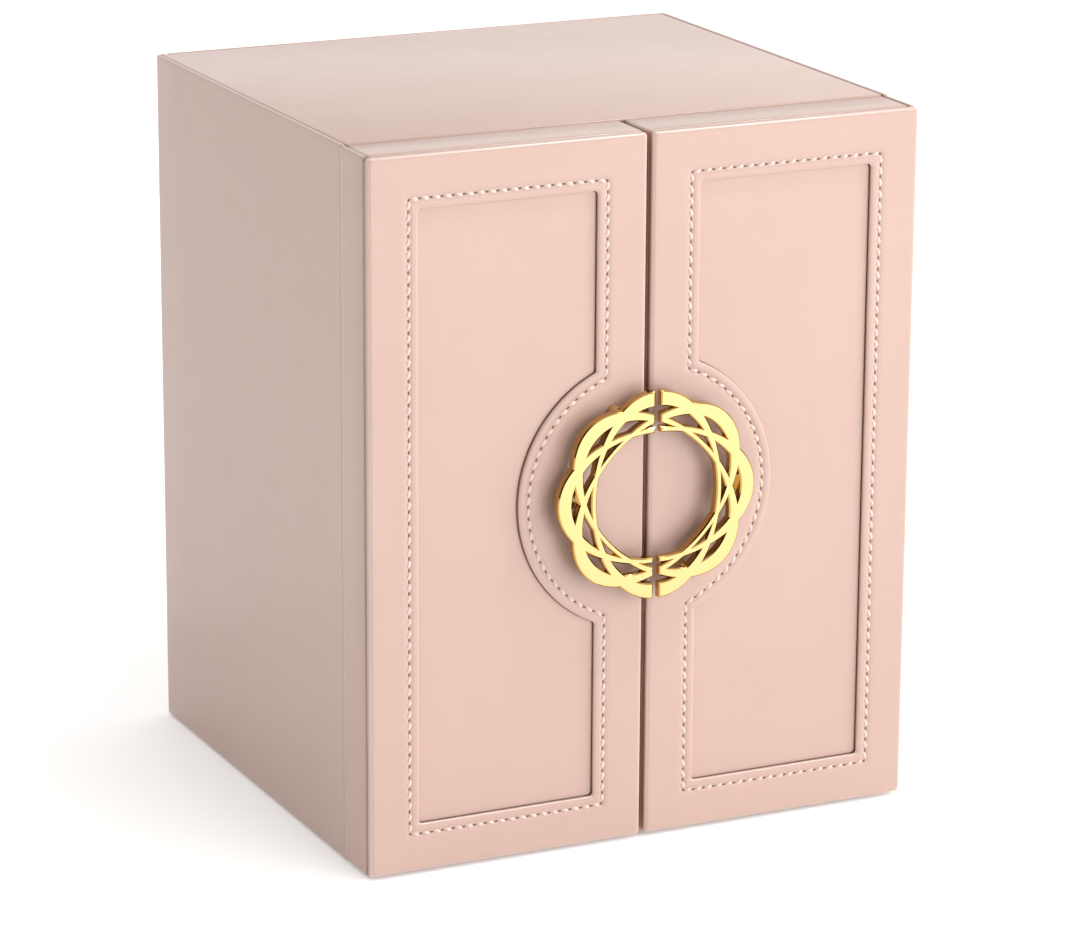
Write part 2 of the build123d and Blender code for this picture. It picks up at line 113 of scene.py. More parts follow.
# Colours, in linear light
PINK = (0.420, 0.281, 0.233)
# A paler pink painted on the rolled edges as a highlight.
HIGHLIGHT_PINK = (0.51, 0.375, 0.325)
# A warm tan painted on walls in shadow, as their shade.
SHADE_TAN = (0.52, 0.27, 0.17)
BLUSH = (0.47, 0.34, 0.29)
CREAM = (0.56, 0.44, 0.385)
BRIGHT_GOLD = (0.72, 0.535, 0.235)
# A darker gold painted on the ring's edges and walls, as darker reflections and shade.
REFLECTION_SHADE_GOLD = (0.50, 0.30, 0.09)
NICKEL = (0.62, 0.61, 0.60)
SUEDE = (0.41, 0.29, 0.25)
BROWN = (0.30, 0.20, 0.17)
# A dark brown painted in the needle holes as their shade.
HOLE_SHADE_BROWN = (0.15, 0.08, 0.055)
FLOOR_WHITE = (0.96, 0.96, 0.96)


# ---------------------------------------------------------------- materials

def shade(colour, factor):
    return tuple(min(1.0, channel * factor) for channel in colour)


def new_material(name, colour, roughness, metallic=0.0):
    """A material, with its node tree, its shader and its object coordinates."""
    material = bpy.data.materials.new(name)
    material.use_nodes = True
    tree = material.node_tree
    shader = tree.nodes["Principled BSDF"]
    shader.inputs["Base Color"].default_value = (*colour, 1)
    shader.inputs["Roughness"].default_value = roughness
    shader.inputs["Metallic"].default_value = metallic
    place = tree.nodes.new("ShaderNodeTexCoord").outputs["Object"]
    return material, tree, shader, place


def cloudy(tree, place, scale, detail=3.0, roughness=0.5):
    """Soft noise with so many cells a metre."""
    node = tree.nodes.new("ShaderNodeTexNoise")
    node.inputs["Scale"].default_value = scale
    node.inputs["Detail"].default_value = detail
    node.inputs["Roughness"].default_value = roughness
    tree.links.new(place, node.inputs["Vector"])
    return node.outputs["Fac"]


def pebbles(tree, place, scale):
    """Rounded cells with creases between them, so many a metre."""
    node = tree.nodes.new("ShaderNodeTexVoronoi")
    node.feature = "DISTANCE_TO_EDGE"
    node.inputs["Scale"].default_value = scale
    node.inputs["Randomness"].default_value = 0.9
    tree.links.new(place, node.inputs["Vector"])
    return node.outputs["Distance"]


def axis_part(tree, vector, axis):
    """One component of a vector."""
    node = tree.nodes.new("ShaderNodeSeparateXYZ")
    tree.links.new(vector, node.inputs["Vector"])
    return node.outputs[axis]


def map_range(tree, value, source, target, interpolation="LINEAR"):
    """A value taken from one range of numbers to another."""
    node = tree.nodes.new("ShaderNodeMapRange")
    node.interpolation_type = interpolation
    node.inputs["From Min"].default_value, node.inputs["From Max"].default_value = source
    node.inputs["To Min"].default_value, node.inputs["To Max"].default_value = target
    tree.links.new(value, node.inputs["Value"])
    return node.outputs["Result"]


def combine(tree, operation, first, second):
    """Two values multiplied, or the larger of them, as the operation says."""
    node = tree.nodes.new("ShaderNodeMath")
    node.operation = operation
    tree.links.new(first, node.inputs[0])
    tree.links.new(second, node.inputs[1])
    return node.outputs["Value"]


def vary_roughness(tree, shader, value, low, high):
    tree.links.new(map_range(tree, value, (0, 1), (low, high)), shader.inputs["Roughness"])


def vary_colour(tree, shader, value, dark, light):
    node = tree.nodes.new("ShaderNodeValToRGB")
    node.color_ramp.elements[0].position = 0.3
    node.color_ramp.elements[0].color = (*dark, 1)
    node.color_ramp.elements[1].position = 0.7
    node.color_ramp.elements[1].color = (*light, 1)
    tree.links.new(value, node.inputs["Fac"])
    tree.links.new(node.outputs["Color"], shader.inputs["Base Color"])


def bump(tree, shader, height, distance, strength):
    """Adds a bump of so many metres over whatever bump the shader has."""
    node = tree.nodes.new("ShaderNodeBump")
    node.inputs["Distance"].default_value = distance
    node.inputs["Strength"].default_value = strength
    tree.links.new(height, node.inputs["Height"])
    if shader.inputs["Normal"].is_linked:
        tree.links.new(shader.inputs["Normal"].links[0].from_socket, node.inputs["Normal"])
    tree.links.new(node.outputs["Normal"], shader.inputs["Normal"])


def leather(name, colour):
    """Coated leather with a fine pebbled grain and a satin shine."""
    material, tree, shader, place = new_material(name, colour, roughness=0.3)
    bump(tree, shader, pebbles(tree, place, 900), distance=0.03 * MM, strength=0.12)
    bump(tree, shader, cloudy(tree, place, 200, detail=2), distance=0.08 * MM, strength=0.2)
    patches = cloudy(tree, place, 22, detail=4, roughness=0.6)
    vary_colour(tree, shader, patches, shade(colour, 0.975), shade(colour, 1.015))
    vary_roughness(tree, shader, cloudy(tree, place, 90), low=0.27, high=0.35)
    shader.inputs["Specular IOR Level"].default_value = 0.75
    return material


def new_gilt(name):
    """A polished gilt surface, still without its tones, and its tree, shader and coordinates."""
    material, tree, shader, place = new_material(name, BRIGHT_GOLD, roughness=0.1, metallic=1.0)
    bump(tree, shader, cloudy(tree, place, 180, detail=2), distance=0.03 * MM, strength=0.2)
    vary_roughness(tree, shader, cloudy(tree, place, 400, detail=2), low=0.05, high=0.13)
    return material, tree, shader, place


def gilt(name):
    """A gilt casting, polished all over."""
    material, tree, shader, place = new_gilt(name)
    patches = cloudy(tree, place, 60, detail=2)
    vary_colour(tree, shader, patches, shade(BRIGHT_GOLD, 0.96), BRIGHT_GOLD)
    return material


def gilt_with_painted_reflections(name):
    """A polished gilt casting that is bright on its flat front, with a darker gold painted on its edges and
    walls as their darker reflections and shade.
    """
    material, tree, shader, place = new_gilt(name)
    normal = place.node.outputs["Normal"]
    # Faces that turn away from the front get the painted darker gold.
    front = map_range(tree, axis_part(tree, normal, "Y"), (-0.8, -0.95), (0, 1))
    vary_colour(tree, shader, front, REFLECTION_SHADE_GOLD, BRIGHT_GOLD)
    return material


def velvet(name, colour):
    """Short-pile velvet, darker and lighter in random patches."""
    material, tree, shader, place = new_material(name, colour, roughness=0.9)
    shader.inputs["Sheen Weight"].default_value = 0.5
    shader.inputs["Sheen Roughness"].default_value = 0.35
    shader.inputs["Sheen Tint"].default_value = (*shade(colour, 1.3), 1)
    bump(tree, shader, cloudy(tree, place, 3200, detail=2), distance=0.12 * MM, strength=0.6)
    bump(tree, shader, cloudy(tree, place, 220), distance=0.2 * MM, strength=0.4)
    tone_patches = cloudy(tree, place, 55, detail=4, roughness=0.65)
    vary_colour(tree, shader, tone_patches, shade(colour, 0.86), shade(colour, 1.06))
    vary_roughness(tree, shader, cloudy(tree, place, 500, detail=2), low=0.82, high=0.98)
    return material


def plain(name, colour, roughness, scale, height, metallic=0.0, change=0.06):
    """A material with slight changes of tone and a fine surface: so many bumps a metre, of such a height."""
    material, tree, shader, place = new_material(name, colour, roughness, metallic)
    bump(tree, shader, cloudy(tree, place, scale, detail=4), distance=height, strength=0.6)
    patches = cloudy(tree, place, scale / 12)
    vary_colour(tree, shader, patches, shade(colour, 1 - change), shade(colour, 1 + change / 2))
    smears = cloudy(tree, place, scale / 3)
    vary_roughness(tree, shader, smears, 0.85 * roughness, min(1.0, 1.1 * roughness))
    return material


def glowing_floor(name):
    """A near-white floor with a slight light of its own, so that only a faint shadow shows on it."""
    material = plain(name, FLOOR_WHITE, roughness=0.9, scale=3000, height=0.01 * MM, change=0.005)
    shader = material.node_tree.nodes["Principled BSDF"]
    shader.inputs["Emission Color"].default_value = (1, 1, 1, 1)
    shader.inputs["Emission Strength"].default_value = 0.2
    return material


LEATHER = leather("pink_leather", PINK)
# Leather with a warm tan painted shade, for the walls in shadow.
WALL_SHADE_LEATHER = leather("tan_painted_shade", SHADE_TAN)
# Leather in a paler pink, a painted highlight for the rolled edges.
HIGHLIGHT_LEATHER = leather("pink_painted_highlight", HIGHLIGHT_PINK)
VELVET = velvet("blush_velvet", BLUSH)
THREAD = plain("cream_thread", CREAM, roughness=0.5, scale=4000, height=0.05 * MM)
# The needle holes' painted shade.
NEEDLE_HOLE_SHADE = plain("needle_hole_painted_shade", HOLE_SHADE_BROWN, roughness=0.8, scale=1500, height=0.03 * MM)
SLOT_MATERIALS = {
    "leather": LEATHER,
    "panel_leather": leather("pink_panel_leather", shade(PINK, 1.01)),
    "board": plain("suede_paper", SUEDE, roughness=0.92, scale=1800, height=0.06 * MM),
    "felt": plain("base_felt", BROWN, roughness=0.95, scale=1400, height=0.15 * MM),
    "velvet": VELVET,
    "gilt": gilt("gilt"),
    "magnet": plain("nickel", NICKEL, roughness=0.3, scale=800, height=0.03 * MM, metallic=1.0),
}


# ---------------------------------------------------------------- mesh helpers

def finished(name, mesh, material, sharp=45.0):
    """An object around a mesh whose faces are turned outward and smooth up to an angle."""
    shape = bmesh.new()
    shape.from_mesh(mesh)
    bmesh.ops.remove_doubles(shape, verts=shape.verts, dist=1e-7)
    bmesh.ops.recalc_face_normals(shape, faces=shape.faces)
    shape.to_mesh(mesh)
    shape.free()
    mesh.shade_smooth()
    mesh.set_sharp_from_angle(angle=math.radians(sharp))
    mesh.materials.append(material)
    obj = bpy.data.objects.new(name, mesh)
    bpy.context.scene.collection.objects.link(obj)
    return obj


def from_points(name, points, faces, material, side=1, sharp=45.0):
    """A piece drawn for the +X side and mirrored when side is -1."""
    mesh = bpy.data.meshes.new(name)
    mesh.from_pydata([(side * x, y, z) for x, y, z in points], [], faces)
    return finished(name, mesh, material, sharp)


def from_bmesh(name, shape, material, sharp=45.0):
    mesh = bpy.data.meshes.new(name)
    shape.to_mesh(mesh)
    shape.free()
    return finished(name, mesh, material, sharp)


def loft(loops, wrap=False, caps=False, start=0):
    """Points and quads through closed loops of equal length; start is the number of points before these."""
    count = len(loops[0])
    points = [point for loop in loops for point in loop]
    faces = []
    for i in range(len(loops) if wrap else len(loops) - 1):
        a = start + i * count
        b = start + (i + 1) % len(loops) * count
        faces += [(a + j, a + (j + 1) % count, b + (j + 1) % count, b + j) for j in range(count)]
    if caps:
        last = start + len(points) - count
        faces.append(tuple(start + j for j in reversed(range(count))))
        faces.append(tuple(last + j for j in range(count)))
    return points, faces


def add_loft(points, faces, loops):
    """Adds a loft with closed ends to the points and faces of a piece."""
    more_points, more_faces = loft(loops, caps=True, start=len(points))
    points += more_points
    faces += more_faces


def around(count):
    """Evenly spaced angles of a full turn."""
    return [2 * math.pi * j / count for j in range(count)]


def in_mm(pairs):
    """Pairs of millimetres, in metres."""
    return [(a * MM, b * MM) for a, b in pairs]


def arc(x, z, radius, start, end, steps):
    """Points on an arc, in degrees, with both ends."""
    angles = [math.radians(start + (end - start) * i / steps) for i in range(steps + 1)]
    return [(x + radius * math.cos(a), z + radius * math.sin(a)) for a in angles]


def rounded_rectangle(x0, x1, z0, z1, radius, steps=6):
    return (
        arc(x0 + radius, z0 + radius, radius, 180, 270, steps)
        + arc(x1 - radius, z0 + radius, radius, 270, 360, steps)
        + arc(x1 - radius, z1 - radius, radius, 0, 90, steps)
        + arc(x0 + radius, z1 - radius, radius, 90, 180, steps)
    )


def rectangle_loops(x0, x1, z0, z1, radius, profile):
    """Loops of points that follow a profile round a rectangle: (distance in from its edge, y) pairs."""
    return [
        [(x, y, z) for x, z in rounded_rectangle(x0 + inset, x1 - inset, z0 + inset, z1 - inset, radius)]
        for inset, y in profile
    ]


def roll(radius, turn, steps=9):
    """A rolled edge, from the face round through turn degrees: (distance in from the edge, depth) pairs."""
    angles = [math.radians(turn * i / steps) for i in range(steps + 1)]
    return [(radius * (1 - math.sin(a)), radius * (1 - math.cos(a))) for a in angles]


def rolled_box(low, high, radius, segments=3):
    """A box with every edge rolled, as a bmesh."""
    shape = bmesh.new()
    bmesh.ops.create_cube(shape, size=1)
    place = Matrix.Translation((low + high) / 2) @ Matrix.Diagonal((*(high - low), 1))
    bmesh.ops.transform(shape, matrix=place, verts=shape.verts)
    bmesh.ops.bevel(shape, geom=shape.edges[:], offset=radius, segments=segments, profile=0.5, affect="EDGES")
    return shape


def solids(node):
    """The box of each separate solid in a CAD node, sorted by place."""
    shape = bmesh.new()
    shape.from_mesh(frame["nodes"][node].data)
    bmesh.ops.remove_doubles(shape, verts=shape.verts, dist=1e-6)
    left = set(shape.verts)
    boxes = []
    while left:
        group = []
        waiting = [left.pop()]
        while waiting:
            vert = waiting.pop()
            group.append(vert.co.copy())
            for other in (edge.other_vert(vert) for edge in vert.link_edges):
                if other in left:
                    left.remove(other)
                    waiting.append(other)
        boxes.append((Vector(map(min, *group)), Vector(map(max, *group))))
    shape.free()
    return sorted(boxes, key=lambda box: (round(box[0].x, 4), round(box[0].y, 4)))


def apply_modifier(obj, modifier):
    with bpy.context.temp_override(object=obj):
        bpy.ops.object.modifier_apply(modifier=modifier.name)


# ---------------------------------------------------------------- door fronts

def window_outline(out, corner):
    """The sunk panel's outline moved outward, as (x, z) points, and which points are its corners."""
    x0 = PANEL_LOW.x - WINDOW_GAP - out
    x1 = PANEL_HIGH.x + WINDOW_GAP + out
    z0 = PANEL_LOW.z - WINDOW_GAP - out
    z1 = PANEL_HIGH.z + WINDOW_GAP + out
    bite = BITE_RADIUS - out
    reach = math.sqrt((bite + corner) ** 2 - (x0 + corner) ** 2)
    turn = math.degrees(math.atan2(reach, x0 + corner))
    lower_corners = [
        arc(x0 + corner, z0 + corner, corner, 180, 270, CORNER_STEPS),
        arc(x1 - corner, z0 + corner, corner, 270, 360, CORNER_STEPS),
    ]
    upper_corners = [
        arc(x1 - corner, z1 - corner, corner, 0, 90, CORNER_STEPS),
        arc(x0 + corner, z1 - corner, corner, 90, 180, CORNER_STEPS),
    ]
    bitten_side = [
        arc(x0 + corner, BITE_Z + reach, corner, 180, 180 + turn, CORNER_STEPS),
        arc(0, BITE_Z, bite, turn, -turn, BITE_STEPS)[1:-1],
        arc(x0 + corner, BITE_Z - reach, corner, 180 - turn, 180, CORNER_STEPS),
    ]
    points = []
    corners = []
    for run in lower_corners + upper_corners + bitten_side:
        if len(run) == CORNER_STEPS + 1:
            corners.append(len(points) + CORNER_STEPS // 2)
        points += run
    return points, corners


def add_loops(shape, loops, side):
    """Adds closed loops to a bmesh, joined by quads, and gives back each loop's vertices."""
    made = [[shape.verts.new((side * x, y, z)) for x, y, z in loop] for loop in loops]
    for near, far in zip(made, made[1:]):
        for i in range(len(near)):
            j = (i + 1) % len(near)
            shape.faces.new((near[i], near[j], far[j], far[i]))
    return made


def fill_between(shape, *loops):
    """Fills the flat ring between two loops."""
    edges = []
    for loop in loops:
        edges += [shape.edges.get((a, b)) for a, b in zip(loop, loop[1:] + loop[:1])]
    bmesh.ops.triangle_fill(shape, use_beauty=True, edges=edges)


def window_profile():
    """The leather's section at the window, from under it to its face: (distance out, depth) pairs."""
    turned_under = in_mm([(0.9, 2.95), (0.75, 2.3)])
    rolled = list(reversed(roll(WINDOW_ROLL, 150)))
    plump = in_mm([(1.9, -0.06)])
    section = [(-1.5, 0), (-0.9, 0.35), (-0.4, 0.85), (0, 1), (0.4, 0.85), (0.9, 0.35), (1.6, 0)]
    channel = [(STITCH_INSET + across * MM, depth * CHANNEL_DEPTH) for across, depth in section]
    face = [(STITCH_INSET + across * MM, depth * MM) for across, depth in [(3.0, -0.03), (4.4, 0)]]
    return turned_under + rolled + plump + channel + face


def border_profile():
    """The leather's section at the door's edge, from its face to under it: (distance in, depth) pairs."""
    face = in_mm([(3.4, 0), (2.6, 0)])
    wall = in_mm([(0.02, 2.1)])
    section = [(0.14, -1.1), (0.4, -0.6), (0.8, -0.2), (1.3, 0)]
    curl = [(inset * MM, PLATE_DEPTH + rise * MM) for inset, rise in section]
    turned_under = in_mm([(1.9, 2.95)])
    return face + roll(PLATE_ROLL, 90) + wall + curl + turned_under


def door_plate(side, name):
    """A door's padded leather frame: edges that curl under, and a sewn channel round the window."""
    window = [
        [(x, FRONT + depth, z) for x, z in window_outline(out, WINDOW_CORNER)[0]]
        for out, depth in window_profile()
    ]
    profile = [(inset, FRONT + depth) for inset, depth in border_profile()]
    border = rectangle_loops(PLATE_LOW.x, PLATE_HIGH.x, PLATE_LOW.z, PLATE_HIGH.z, PLATE_CORNER, profile)
    shape = bmesh.new()
    inner = add_loops(shape, window, side)
    outer = add_loops(shape, border, side)
    fill_between(shape, inner[-1], outer[0])
    fill_between(shape, inner[0], outer[-1])
    plate = from_bmesh(name, shape, LEATHER, 50)
    # Painted shade on the walls in shadow.
    paint_wall_shade(plate)
    # Painted highlights on the rolled edges.
    paint_roll_highlights(plate)
    return plate


def paint_wall_shade(piece):
    """Paints a warm tan shade on the top and side walls of a door's window and on the front of its meeting
    edge, the walls that stay in shadow; the bottom wall, which faces up, keeps its pink.
    """
    margin = 2 * MM
    piece.data.materials.append(WALL_SHADE_LEATHER)
    for face in piece.data.polygons:
        x, y, z = abs(face.center.x), face.center.y, face.center.z
        in_height = PANEL_LOW.z - margin < z < PANEL_HIGH.z + margin
        window = x < PANEL_HIGH.x + margin and in_height
        meeting = x < PLATE_LOW.x + margin
        # Only walls that face sideways or down, which are in shadow, get the painted shade.
        wall = abs(face.normal.y) < 0.7 and face.normal.z < 0.5
        if wall and y < FRONT + WALL_SHADE_DEPTH and (window or meeting):
            face.material_index = 1


def paint_roll_highlights(plate):
    """Paints a highlight on a door's leather along its rolled edges, as a paler pink on the faces that turn
    from the front to the side.
    """
    plate.data.materials.append(HIGHLIGHT_LEATHER)
    for face in plate.data.polygons:
        if 0.3 < -face.normal.y < 0.88 and face.center.y < FRONT + PLATE_ROLL:
            face.material_index = 2


def needle_spots():
    """Where the needle went through the leather, with one spot on every corner."""
    outline, corners = window_outline(STITCH_INSET, STITCH_CORNER)
    outline = [Vector(point) for point in outline]
    spots = []
    for first, last in zip(corners, corners[1:] + [corners[0] + len(outline)]):
        run = [outline[i % len(outline)] for i in range(first, last + 1)]
        lengths = [(b - a).length for a, b in zip(run, run[1:])]
        count = round(sum(lengths) / STITCH_PITCH)
        for number in range(count):
            left = sum(lengths) * number / count
            i = 0
            while left > lengths[i]:
                left -= lengths[i]
                i += 1
            spots.append(run[i].lerp(run[i + 1], left / lengths[i]))
    return spots


def stitches(side, name):
    """Thread from hole to hole, plump in the middle and leaning the same way all round."""
    spots = needle_spots()
    rings = 9
    hidden = 0.16  # the part of a stitch's length that is down the hole at each end
    lean = 0.8 * MM
    points, faces = [], []
    for start, end in zip(spots, spots[1:] + spots[:1]):
        along = (end - start).normalized()
        across = Vector((-along.y, along.x))
        loops = []
        for i in range(rings):
            t = i / (rings - 1)
            swell = math.sin(math.pi * (0.05 + 0.9 * t))
            centre = start.lerp(end, hidden + (1 - 2 * hidden) * t) + across * (t - 0.5) * lean
            width = (0.25 + 0.55 * swell ** 0.6) * MM
            rise = (0.15 + 0.35 * swell) * MM
            depth = CHANNEL_DEPTH + (0.25 - 0.45 * swell) * MM
            loop = []
            for angle in around(8):
                spot = centre + across * width * math.cos(angle)
                loop.append((spot.x, FRONT + depth - rise * math.sin(angle), spot.y))
            loops.append(loop)
        add_loft(points, faces, loops)
    return from_points(name, points, faces, THREAD, side)


def needle_holes(side, name):
    """Shallow dimples where the thread goes in, a little longer than wide, painted dark brown as the shade
    down the holes.
    """
    spots = needle_spots()
    half_length, half_width = 0.8 * MM, 0.58 * MM
    rim_depth, floor_depth = CHANNEL_DEPTH - 0.02 * MM, CHANNEL_DEPTH - 0.08 * MM
    points, faces = [], []
    for before, spot, after in zip(spots[-1:] + spots[:-1], spots, spots[1:] + spots[:1]):
        along = (after - before).normalized()
        across = Vector((-along.y, along.x))
        loops = []
        for size, depth in ((1.0, rim_depth), (0.7, floor_depth)):
            loop = []
            for angle in around(12):
                reach = along * half_length * math.cos(angle) + across * half_width * math.sin(angle)
                edge = spot + reach * size
                loop.append((edge.x, FRONT + depth, edge.y))
            loops.append(loop)
        add_loft(points, faces, loops)
    return from_points(name, points, faces, NEEDLE_HOLE_SHADE, side)


def door_wrap(side, name):
    """Leather round a door's rim, from the groove behind the plate, over the back and into the tray."""
    x0, x1 = PLATE_LOW.x, PLATE_HIGH.x - LIP - SEAM
    start = FRONT + WRAP_START
    back = DOOR_BACK + 0.08 * MM
    inner = LINING_LOW.x - x0 + 0.12 * MM
    front_roll = [(2.0, 0.6), (1.5, 0.1), (1.0, 0), (0.62, 0.08), (0.29, 0.29), (0.08, 0.62), (0, 1.0)]
    profile = [(inset * MM, start + depth * MM) for inset, depth in front_roll]
    profile += [
        # The loop where the painted shade on the meeting edge ends.
        (0.0, FRONT + WALL_SHADE_DEPTH),
        (0.0, back - 0.7 * MM), (0.2 * MM, back - 0.2 * MM), (0.7 * MM, back),
        (inner - 0.7 * MM, back), (inner - 0.2 * MM, back - 0.2 * MM), (inner, back - 0.7 * MM),
        (inner, LINING_HIGH.y - 0.1 * MM), (inner - 0.6 * MM, LINING_LOW.y),
    ]
    loops = rectangle_loops(x0, x1, PLATE_LOW.z, PLATE_HIGH.z, WRAP_CORNER, profile)
    points, faces = loft(loops, wrap=True)
    wrap = from_points(name, points, faces, LEATHER, side)
    # Painted shade on the rim's walls in shadow at the meeting edge.
    paint_wall_shade(wrap)
    return wrap


# ---------------------------------------------------------------- side leather

def side_section(z0, z1, dent):
    """A slice across the side sheet, as (distance in from the side, height) points."""
    edge = SKIN_ROLL
    trim = 0.3 * MM
    flat_from = 3 * MM
    middle = (z0 + z1) / 2
    turn = [math.radians(22.5 * i) for i in range(5)]
    outer = [(LIP, z0)]
    outer += [(edge - edge * math.sin(a), z0 + edge - edge * math.cos(a)) for a in turn]
    outer += [(dent, z0 + flat_from), (dent, middle), (dent, z1 - flat_from)]
    outer += [(edge - edge * math.cos(a), z1 - edge + edge * math.sin(a)) for a in turn]
    outer += [(LIP - trim, z1), (LIP, z1 - trim)]
    inner = [(LIP, z1 - SKIN), (SKIN, z1 - SKIN), (SKIN, middle), (SKIN, z0 + SKIN), (LIP, z0 + SKIN)]
    return outer + inner


def side_slices():
    """Where the side sheet is sliced, from front to back: (y, how far it is dented) pairs."""
    start = FRONT + WRAP_START
    door_middle = -90 * MM
    body = (-70 * MM, 0.0, 80 * MM)
    crease_width = 0.75  # in millimetres, as the distances from the hinge below
    front_edge = [(0, 0.9), (0.15, 0.4), (0.5, 0.12), (1.0, 0)]
    slices = [(start + depth * MM, dent * MM) for depth, dent in front_edge]
    slices.append((door_middle, 0.0))
    for away in (-2.6, -1.8, -1.2, -0.8, -0.5, -0.25, 0, 0.25, 0.5, 0.8, 1.2, 1.8, 2.6):
        crease = max(0.0, math.exp(-(away / crease_width) ** 2) - 0.001)
        slices.append((HINGE_Y + away * MM, CREASE * crease))
    return slices + [(y, 0.0) for y in body]


def rear_corner(flat, steps=8):
    """Loops that turn the side sheet round the body's rear corner and on to the back."""
    x = PLATE_HIGH.x
    rear = cad_high.y
    loops = []
    for i in range(steps + 1):
        angle = math.radians(90 * i / steps)
        loop = []
        for inset, z in flat:
            radius = REAR_CORNER - inset
            away_x, away_y = radius * math.cos(angle), radius * math.sin(angle)
            loop.append((x - REAR_CORNER + away_x, rear - REAR_CORNER + away_y, z))
        loops.append(loop)
    loops.append([(x - REAR_CORNER - SKIN, rear - inset, z) for inset, z in flat])
    return loops


def side_cover(side, name):
    """One sheet of leather over the body's side and the door's edge; it creases where the door turns."""
    loops = []
    for y, dent in side_slices():
        low, high = (PLATE_LOW.z, PLATE_HIGH.z) if y < HINGE_Y else (SIDE_LOW.z, SIDE_HIGH.z)
        loops.append([(PLATE_HIGH.x - inset, y, z) for inset, z in side_section(low, high, dent)])
    loops += rear_corner(side_section(SIDE_LOW.z, SIDE_HIGH.z, 0.0))
    points, faces = loft(loops, caps=True)
    return from_points(name, points, faces, LEATHER, side, 35)


# ---------------------------------------------------------------- soft furnishings

def soft_slabs(name, node):
    """Card strips wrapped in velvet, one for each strip in the CAD."""
    rounding = 1.3 * MM
    long_edge = 15 * MM
    unevenness = 0.12 * MM
    shape = bmesh.new()
    for low, high in solids(node):
        part = rolled_box(low, high, rounding, 4)
        long_edges = [edge for edge in part.edges if edge.calc_length() > long_edge]
        bmesh.ops.subdivide_edges(part, edges=long_edges, cuts=14, use_grid_fill=True)
        for vert in part.verts:
            vert.co += unevenness * noise.noise_vector(vert.co * 90)
        mesh = bpy.data.meshes.new("part")
        part.to_mesh(mesh)
        part.free()
        shape.from_mesh(mesh)
        bpy.data.meshes.remove(mesh)
    return from_bmesh(name, shape, VELVET, 60)


def ring_rolls(name, node):
    """Stuffed velvet rolls that press against each other, with their ends tucked in."""
    points, faces = [], []
    for number, (low, high) in enumerate(solids(node)):
        add_loft(points, faces, ring_roll(low, high, number))
    return from_points(name, points, faces, VELVET, sharp=80)


def ring_roll(low, high, number, dome=4.5 * MM, steps=40):
    """The loops of one roll along X, pleated where its ends are tucked in."""
    pleats = 9
    pleat_length = 3 * MM
    middle = (low + high) / 2
    radius = (high.z - low.z) / 2
    ends = [dome * (1 - math.cos(math.radians(90 * i / 7))) for i in range(1, 8)]
    stations = [low.x + e for e in ends]
    stations += [low.x + dome + (high.x - low.x - 2 * dome) * i / steps for i in range(1, steps)]
    stations += [high.x - e for e in reversed(ends)]
    loops = []
    for x in stations:
        end = min(x - low.x, high.x - x)
        shrink = math.sqrt(max(0.0, 1 - (1 - min(1.0, end / dome)) ** 2)) ** 0.8
        loop = []
        for angle in around(28):
            pleat = 0.035 * math.sin(pleats * angle + number) * math.exp(-end / pleat_length)
            lump = 0.02 * noise.noise(Vector((x * 45, number * 5.0, angle)))
            size = radius * shrink * (1 + pleat + lump)
            y = middle.y + 1.015 * size * math.cos(angle)
            z = middle.z + size * math.sin(angle)
            loop.append((x, y, max(z, low.z - 0.1 * MM)))
        loops.append(loop)
    return loops


def blow_up(pads, pressure=4.0, cap=4 * MM, frames=20):
    """Swells closed meshes like stuffed cloth, with no point moved further than the cap."""
    scene = bpy.context.scene
    for pad in pads:
        cloth = pad.modifiers.new("stuffing", "CLOTH")
        cloth.settings.use_pressure = True
        cloth.settings.uniform_pressure_force = pressure
        cloth.settings.effector_weights.gravity = 0
    for number in range(1, frames + 1):
        scene.frame_set(number)
    depsgraph = bpy.context.evaluated_depsgraph_get()
    for pad in pads:
        swollen = [vert.co.copy() for vert in pad.evaluated_get(depsgraph).data.vertices]
        for vert, target in zip(pad.data.vertices, swollen):
            move = target - vert.co
            vert.co += move * min(1.0, cap / max(move.length, 1e-9))
        pad.modifiers.clear()
    scene.frame_set(1)


def watch_pillows(node):
    """Velvet pillows for watches, each blown up from a block a little smaller than its CAD solid."""
    inset = Vector((3.5, 3.5, 3.0)) * MM
    rounding = 8 * MM
    boxes = solids(node)
    pads = []
    for number, (low, high) in enumerate(boxes):
        shape = rolled_box(low + inset, high - inset, rounding, 4)
        pad = from_bmesh(f"watch_pillow_{number + 1}", shape, VELVET, 80)
        cells = pad.modifiers.new("cells", "REMESH")
        cells.mode = "VOXEL"
        cells.voxel_size = 4 * MM
        apply_modifier(pad, cells)
        pads.append(pad)
    blow_up(pads)
    for pad, (low, high) in zip(pads, boxes):
        fit_pillow(pad, low, high)
    return pads


def fit_pillow(pad, low, high):
    """Smooths a pillow, pulls it in along a seam near each end and seats it on the drawer's base."""
    smooth = pad.modifiers.new("smooth", "SUBSURF")
    smooth.levels = 1
    apply_modifier(pad, smooth)
    seam_place, seam_width, seam_depth = 0.86, 0.035, 1.1 * MM
    unevenness = 0.35 * MM
    centre = (low + high) / 2
    half = (high - low) / 2
    for vert in pad.data.vertices:
        across = abs(vert.co.x - centre.x) / half.x
        seam = math.exp(-((across - seam_place) / seam_width) ** 2)
        away = Vector((0, vert.co.y - centre.y, vert.co.z - centre.z))
        vert.co -= away.normalized() * seam_depth * seam
        vert.co += unevenness * noise.noise_vector(vert.co * 60)
        vert.co.z = max(vert.co.z, low.z)
    pad.data.shade_smooth()
    pad.data.materials.clear()
    pad.data.materials.append(VELVET)


